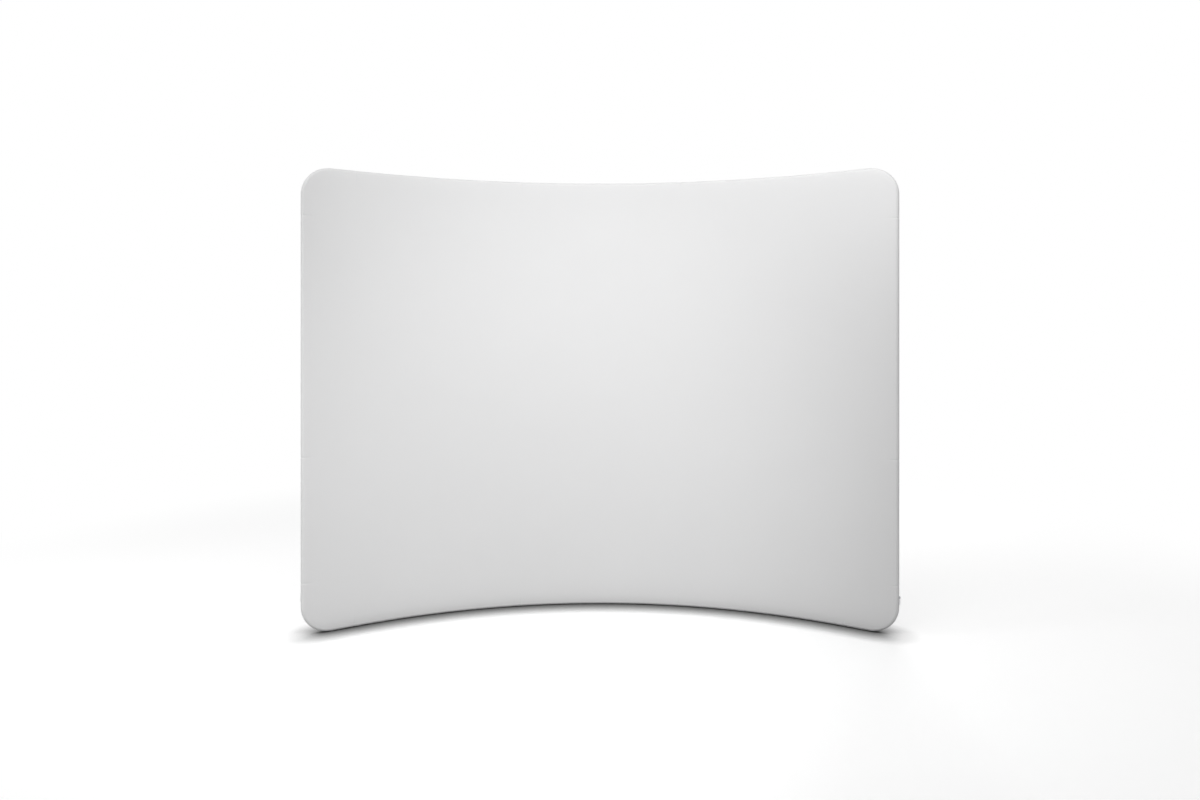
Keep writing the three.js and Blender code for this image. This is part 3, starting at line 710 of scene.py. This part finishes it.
class BACKWALL_OT_seam(bpy.types.Operator):
    """Sews the two panels together round the rim with an overlock stitch"""

    bl_idname = "backwall.seam"
    bl_label = "Seam"

    def execute(self, context):
        cloth = Cloth(context.scene)
        look, sizes = cloth.look, cloth.sizes
        inside = look.wrap_radius - look.thickness
        run = seam_run(cloth)
        half = look.seam_half_width
        # Two rolled edges that meet in a shallow groove: shares of the half width and the rise.
        groove_rise = 0.55
        profile = [(0.0, groove_rise), (0.12, 0.80), (0.35, 1.0), (0.65, 0.98), (0.88, 0.75),
                   (1.0, 0.35)]
        full = sizes.rail_inset - inside
        top = [(inside + full * rise, half * across) for across, rise in profile]
        outline = [(inside, -half), *[(out, -rear) for out, rear in reversed(top[1:])], *top,
                   (inside, half)]

        def section(station):
            dip = cloth.rim_dip(station)
            return [station.point + station.out * (out - dip) + station.rear * rear
                    for out, rear in outline]

        bm = bmesh.new()
        sweep(bm, run, section)
        outward(bm)
        add_strip_uv(bm)
        seam = link("seam_rim", bm, knitted_cover(look))
        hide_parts("fabric_seam")

        thread = metal_material("Seam thread", look.thread_color, 0.75, 0.0004, metallic=0.0)
        lift, slant = 0.0002, 0.25
        level = inside + full * groove_rise + lift
        places = []
        for station, along in even_run(run, look.stitch):
            axes = Matrix((station.rear, along, station.out)).transposed().to_4x4()
            spot = Matrix.Translation(station.point + station.out * level)
            places.append(spot @ axes @ Matrix.Rotation(slant, 4, "Z"))
        threads = link("seam_stitches", repeat(stitch(half), places), thread)
        return {"FINISHED"}


def stitch(half):
    """One thread arched across the groove of a seam of that half width, its ends sunk in it."""
    radius, reach = 0.00016, half * 0.34
    arch = [(-reach, -0.0001), (-reach * 0.55, 0.00024), (0, 0.00032), (reach * 0.55, 0.00024),
            (reach, -0.0001)]
    bar = bmesh.new()
    ring = bmesh.ops.create_circle(bar, cap_ends=True, segments=5, radius=radius)["verts"]
    bmesh.ops.transform(bar, matrix=Matrix.Rotation(RIGHT_ANGLE, 4, "Y"), verts=ring)
    bmesh.ops.translate(bar, vec=(arch[0][0], 0, arch[0][1]), verts=ring)
    edges = list(bar.edges)
    for (x0, z0), (x1, z1) in zip(arch, arch[1:]):
        verts, edges = extrude(bar, edges)
        bmesh.ops.translate(bar, vec=(x1 - x0, 0, z1 - z0), verts=verts)
    bmesh.ops.contextual_create(bar, geom=edges)
    outward(bar)
    return bar


def add_strip_uv(bm):
    """A UV map in metres for a narrow strip: x, and height and depth added."""
    uv = bm.loops.layers.uv.new("UVMap")
    for surface in bm.faces:
        for loop in surface.loops:
            loop[uv].uv = (loop.vert.co.x, loop.vert.co.z + loop.vert.co.y)


def even_run(run, step):
    """Stations at even distances along a run, each with the direction of the run."""
    out = []
    carried = 0.0
    for a, b in zip(run, run[1:]):
        gap = b.point - a.point
        distance = gap.length
        if distance < 1e-9:
            continue
        along = gap / distance
        while carried < distance:
            t = carried / distance
            mixed = Station(a.point.lerp(b.point, t), a.out.lerp(b.out, t).normalized(),
                            a.rear.lerp(b.rear, t).normalized(), a.s + (b.s - a.s) * t)
            out.append((mixed, along))
            carried += step
        carried -= distance
    return out


# ---- Zip -----------------------------------------------------------------------------------


def zip_run(cloth):
    """Down the left side, along the bottom and up the right side."""
    line, top = cloth.line, cloth.sizes.zip_top
    sides = [cloth.low + (top - cloth.low) * k / 6 for k in range(1, 7)]
    run = [line.upright(LEFT, z) for z in sides[::-1]]
    run += cloth.edge(BOTTOM)
    return run + [line.upright(RIGHT, z) for z in sides]


def upright_frame(cloth, side, z):
    """Axes at an upright: x to the front, y out of the loop, z up."""
    station = cloth.line.upright(side, z)
    axes = Matrix((-station.rear, station.out, UP)).transposed().to_4x4()
    return Matrix.Translation(station.point) @ axes


class BACKWALL_OT_zip(bpy.types.Operator):
    """Lays the two tapes of the zip with their rows of moulded teeth"""

    bl_idname = "backwall.zip"
    bl_label = "Zip"

    def execute(self, context):
        cloth = Cloth(context.scene)
        look = context.scene.backwall_zip
        woven = cloth_material("Zip tape", look.color, 0.0006, 0.3, 0.8)
        moulded = metal_material("Zip teeth", look.color, 0.42, 0.0006, metallic=0.0)
        inside = cloth.look.wrap_radius - cloth.look.thickness
        thickness, gap, rib = 0.0003, 0.0004, 0.0002
        base = inside + thickness
        half = cloth.look.seam_half_width
        # Each tape starts beside the middle and swells to a rib under its teeth.
        outline = [(inside, gap), (base, gap), (base + rib, 0.0012), (base, 0.003), (base, half),
                   (inside, half)]
        pitch, height = look.tooth_pitch, cloth.sizes.rail_inset - base
        half_tooth = pitch * 0.21
        run = zip_run(cloth)
        for name, face in (("front", FRONT), ("back", BACK)):
            bm = bmesh.new()
            sweep(bm, run, lambda station: [
                station.point + station.out * out + station.rear * (face * rear)
                for out, rear in outline])
            outward(bm)
            add_strip_uv(bm)
            tape = link(f"zip_tape_{name}", bm, woven)
            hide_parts(f"zip_stringer_{name}")

            tooth = bmesh.new()
            block(tooth, (-0.0010, -half_tooth, -0.0001), (0.0030, half_tooth, height),
                  bevel=0.00022, segments=1)
            places = []
            for station, along in even_run(run, pitch / 2)[(0 if face == FRONT else 1)::2]:
                across = station.rear * face
                axes = Matrix((across, along * face, station.out)).transposed().to_4x4()
                places.append(Matrix.Translation(station.point + station.out * base) @ axes)
            teeth = repeat(tooth, places)
            outward(teeth)
            row = link(f"zip_teeth_{name}", teeth, moulded)
        self.end_tab(cloth)
        return {"FINISHED"}

    def end_tab(self, cloth):
        """The folded fabric over the left end of the zip, bent round the rim."""
        look, rim = cloth.look, cloth.sizes.rail_inset
        half, rise = 0.0068, look.tab_height
        sunk, raised = 0.0006, 0.0018
        tab = bmesh.new()
        block(tab, (-half, rim - sunk, -rise / 2), (half, rim + raised, rise / 2), 0.0011, 3)
        across = [edge for edge in tab.edges
                  if abs(edge.verts[0].co.x - edge.verts[1].co.x) > 0.005]
        bmesh.ops.subdivide_edges(tab, edges=across, cuts=7)
        for vert in tab.verts:
            vert.co.y -= vert.co.x ** 2 / (2 * rim)
        place(tab, upright_frame(cloth, LEFT, cloth.sizes.zip_top - rise * 0.42))
        outward(tab)
        add_strip_uv(tab)
        end = link("zip_end_tab", tab, knitted_cover(look))


class BACKWALL_OT_zip_slider(bpy.types.Operator):
    """Puts the slider on the zip and hangs its pull in it"""

    bl_idname = "backwall.zip_slider"
    bl_label = "Zip Slider"

    def execute(self, context):
        cloth = Cloth(context.scene)
        look = context.scene.backwall_zip
        metal = metal_material("Plated slider", look.slider_color, 0.32, 0.0005)
        bottom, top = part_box("zip_slider")
        base = upright_frame(cloth, RIGHT, (bottom.z + top.z) / 2)
        # From the tube's centreline out: the plate's underside, and the middle of the pull.
        plate, thickness = 0.01805, 0.0014
        centre = plate + thickness + 0.0017

        bm = bmesh.new()
        half, reach = 0.0046, 0.006
        block(bm, (-half, plate, -reach), (half, plate + thickness, reach), 0.0005)
        flange, underside = 0.0034, 0.0174
        for side in (-1, 1):
            low, high = sorted((side * flange, side * half))
            block(bm, (low, underside, -reach), (high, plate + 0.0004, reach), 0.0002)
        # The bridge that holds the pull: two posts and a bar.
        bridge, span = 0.0012, 0.005
        for end in (-1, 1):
            low, high = sorted((end * 0.0038, end * span))
            block(bm, (-bridge, plate + 0.0010, low), (bridge, plate + 0.0055, high), 0.0003)
        block(bm, (-bridge, plate + 0.0048, -span), (bridge, plate + 0.0060, span), 0.0004)
        place(bm, base)
        outward(bm)
        slider = link("slider_body", bm, metal, "zip_slider")
        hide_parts("zip_slider")

        bm = bmesh.new()
        low, high = centre - 0.0008, centre + 0.0008
        half, foot = 0.004, -0.0375
        block(bm, (-half, low, -0.0011), (half, high, 0.0011), 0.0005)
        for side in (-1, 1):
            left, right = sorted((side * 0.0016, side * half))
            block(bm, (left, low, -0.0095), (right, high, -0.0005), 0.0005)
        tab = block(bm, (-half, low, foot), (half, high, -0.0091))
        ends = dict.fromkeys(edge for vert in tab for edge in vert.link_edges
                             if all(v.co.z < foot + 0.0005 for v in edge.verts)
                             and abs(edge.verts[0].co.x - edge.verts[1].co.x) < 1e-6)
        round_edges(bm, ends, 0.0034, 6)
        for k in range(5):
            z = -0.018 - k * 0.0028
            block(bm, (-0.0028, high - 0.0001, z - 0.0006), (0.0028, high + 0.0004, z + 0.0006),
                  0.0003)
        place(bm, base)
        outward(bm)
        pull = link("slider_pull", bm, metal, "zip_pull")
        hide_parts("zip_pull")
        return {"FINISHED"}


class BACKWALL_OT_cover_cut(bpy.types.Operator):
    """Works out the cover's shape and makes nothing from it"""

    bl_idname = "backwall.cover_cut"
    bl_label = "Cover Cut"

    def execute(self, context):
        cloth = Cloth(context.scene)
        return {"FINISHED"}


# ---- Tubes and fittings --------------------------------------------------------------------


class BACKWALL_OT_springs(bpy.types.Operator):
    """Puts the folded spring strip behind each button, copied as it rests"""

    bl_idname = "backwall.springs"
    bl_label = "Button Springs"

    def execute(self, context):
        look = context.scene.backwall_metal
        metal = metal_material("Spring steel", look.spring_color, 0.3, 0.0005)
        for joint in frame["joints"]:
            if not joint["name"].startswith("press_button_"):
                continue
            which = joint["name"].removeprefix("press_button_")
            node = frame["nodes"]["button_spring_" + which]
            bm = bmesh.new()
            bm.from_mesh(node.data)
            bmesh.ops.remove_doubles(bm, verts=bm.verts, dist=1e-6)
            bmesh.ops.dissolve_limit(bm, angle_limit=0.01, verts=bm.verts, edges=bm.edges)
            axis = Vector(joint["axis"])
            heights = {vert.co.dot(axis): vert.co.copy() for vert in bm.verts}
            low, high = min(heights), max(heights)
            strip = link("spring_strip_" + which, bm, metal)
            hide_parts("button_spring_" + which)
            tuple(heights[low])
            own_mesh(strip)
        return {"FINISHED"}


class BACKWALL_OT_frame_finish(bpy.types.Operator):
    """Gives the tubes, spigots and buttons their metal"""

    bl_idname = "backwall.frame_finish"
    bl_label = "Frame Finish"

    def execute(self, context):
        look = context.scene.backwall_metal
        finishes = [
            (("rail_", "corner_", "side_", "pole_lower", "pole_upper"),
             metal_material("Drawn aluminium", look.tube_color, 0.34, 0.0008)),
            (("pole_spigot",), metal_material("Cast aluminium", look.spigot_color, 0.55, 0.0012)),
            (("snap_button",), metal_material("Plated button", look.button_color, 0.22, 0.0004)),
        ]
        for prefixes, material in finishes:
            for name, node in frame["nodes"].items():
                if name.startswith(prefixes):
                    for slot in node.material_slots:
                        slot.material = material
        return {"FINISHED"}


# ---- Stage ---------------------------------------------------------------------------------


class BACKWALL_OT_stage(bpy.types.Operator):
    """Lays the floor and sets the lights and the camera"""

    bl_idname = "backwall.stage"
    bl_label = "Stage"

    def execute(self, context):
        scene = context.scene
        look = scene.backwall_stage
        scene.view_settings.view_transform = "Standard"

        bm = bmesh.new()
        bmesh.ops.create_circle(bm, cap_ends=True, segments=96, radius=40)
        mesh = bpy.data.meshes.new("floor")
        bm.to_mesh(mesh)
        bm.free()
        mesh.materials.append(self.floor_material(look))
        floor = bpy.data.objects.new("floor", mesh)
        context.collection.objects.link(floor)

        scene.world = self.world(look)
        self.lamp("Front spot", (-0.3, -5, 1.5), (-0.4, 0.2, 0.6), look.front_spot,
                  spot_size=math.radians(50), spot_blend=1, shadow_soft_size=0.5)
        self.lamp("Overhead strip", (0.4, -1.4, 2.75), (0.4, 0.2, 2.1), look.overhead,
                  size=2.9, size_y=0.5)
        self.lamp("Side light", (-4.5, -1.2, 2.6), (-1.2, 0, 1.2), look.side,
                  size=1.5, size_y=2.5)
        self.lamp("Back light", (2.6, 4.6, 3.2), (0, 0.2, 1.2), look.back, size=2.5, size_y=1.5)

        camera = bpy.data.cameras.new("Camera")
        camera.sensor_width = 36
        camera.lens = look.camera_lens
        camera.shift_y = look.camera_shift
        camera.clip_end = 200
        holder = bpy.data.objects.new("Camera", camera)
        holder.location = (0, -look.camera_distance, look.camera_height)
        holder.rotation_euler = (RIGHT_ANGLE, 0, 0)
        context.collection.objects.link(holder)
        scene.camera = holder
        return {"FINISHED"}

    def floor_material(self, look):
        """A matt floor that the camera sees as white where no shadow falls on it, with a painted
        contact shadow near the object.
        """
        material = bpy.data.materials.new("Pale floor")
        material.use_nodes = True
        tree = material.node_tree
        tree.nodes.clear()
        nodes = Nodes(tree)
        seen = self.seen(nodes)
        lift = nodes.math("MULTIPLY", seen, look.floor_lift - look.floor_bounce)
        lift = nodes.math("ADD", lift, look.floor_bounce)
        # Painted shade: an ambient occlusion node darkens the floor's colour near the object, a
        # painted contact shadow added to the lamps' real shadows.
        near = nodes.add("ShaderNodeAmbientOcclusion", samples=16)
        near.inputs["Distance"].default_value = look.contact_reach
        near = nodes.math("POWER", near.outputs["AO"], look.contact_depth)
        lift = nodes.math("MULTIPLY", lift, near)
        matt = nodes.add("ShaderNodeBsdfDiffuse", {"Color": tinted(nodes, look.floor_color, lift)})
        white = nodes.add("ShaderNodeEmission", in_Strength=1.0)
        coords = nodes.add("ShaderNodeTexCoord")
        reach = nodes.add("ShaderNodeVectorMath", operation="LENGTH")
        tree.links.new(coords.outputs["Object"], reach.inputs[0])
        fade_from, fade_to = 2.6, 4.6
        far = nodes.add("ShaderNodeMapRange", {"Value": reach.outputs["Value"]},
                        in_1=fade_from, in_2=fade_to, interpolation_type="SMOOTHSTEP")
        blend = nodes.add("ShaderNodeMixShader", {
            0: nodes.math("MULTIPLY", far.outputs["Result"], seen),
            1: matt.outputs[0],
            2: white.outputs[0],
        })
        nodes.add("ShaderNodeOutputMaterial", {"Surface": blend.outputs[0]})
        return material

    def seen(self, nodes):
        """One for rays that show the background itself, and none for its light on the wall."""
        path = nodes.add("ShaderNodeLightPath")
        clear = nodes.math("MAXIMUM", path.outputs["Is Camera Ray"], path.outputs["Is Glossy Ray"])
        return nodes.math("MAXIMUM", clear, path.outputs["Is Transmission Ray"])

    def world(self, look):
        """Even light, and plain white where the camera sees past the floor."""
        world = bpy.data.worlds.new("Studio")
        world.use_nodes = True
        tree = world.node_tree
        tree.nodes.clear()
        nodes = Nodes(tree)
        even = nodes.add("ShaderNodeBackground", in_Strength=look.ambient)
        white = nodes.add("ShaderNodeBackground", in_Strength=1.0)
        for node in (even, white):
            node.inputs["Color"].default_value = (1, 1, 1, 1)
        mix = nodes.add("ShaderNodeMixShader", {
            0: self.seen(nodes),
            1: even.outputs[0],
            2: white.outputs[0],
        })
        nodes.add("ShaderNodeOutputWorld", {"Surface": mix.outputs[0]})
        return world

    def lamp(self, name, position, target, watts, **shape):
        """A spot or a rectangular lamp that faces its target."""
        lamp = bpy.data.lights.new(name, "SPOT" if "spot_size" in shape else "AREA")
        if "size_y" in shape:
            lamp.shape = "RECTANGLE"
        for key, value in shape.items():
            setattr(lamp, key, value)
        lamp.energy = watts
        holder = bpy.data.objects.new(name, lamp)
        holder.location = position
        aim = Vector(target) - Vector(position)
        holder.rotation_euler = aim.to_track_quat("-Z", "Y").to_euler()
        holder.visible_camera = False
        bpy.context.collection.objects.link(holder)


# ---- Add-on --------------------------------------------------------------------------------

STEPS = (
    BACKWALL_OT_stage,
    BACKWALL_OT_fabric_panels,
    BACKWALL_OT_seam,
    BACKWALL_OT_zip,
    BACKWALL_OT_zip_slider,
    BACKWALL_OT_cover_cut,
    BACKWALL_OT_springs,
    BACKWALL_OT_frame_finish,
)


class BACKWALL_PT_panel(bpy.types.Panel):
    """Sizes, looks and steps of the display backwall"""

    bl_label = "Display Backwall"
    bl_idname = "BACKWALL_PT_panel"
    bl_space_type = "VIEW_3D"
    bl_region_type = "UI"
    bl_category = "Backwall"

    def draw(self, context):
        for key, group_type in GROUPS.items():
            box = self.layout.box()
            settings = getattr(context.scene, key)
            for name in group_type.__annotations__:
                box.prop(settings, name)
        for step in STEPS:
            self.layout.operator(step.bl_idname)


CLASSES = (*GROUPS.values(), *STEPS, BACKWALL_PT_panel)


def register():
    for cls in CLASSES:
        bpy.utils.register_class(cls)
    for key, group_type in GROUPS.items():
        setattr(bpy.types.Scene, key, PointerProperty(type=group_type))


def unregister():
    for key in GROUPS:
        delattr(bpy.types.Scene, key)
    for cls in reversed(CLASSES):
        bpy.utils.unregister_class(cls)


def main():
    register()
    for step in STEPS:
        area, name = step.bl_idname.split(".")
        getattr(getattr(bpy.ops, area), name)()


if __name__ == "__main__":
    main()
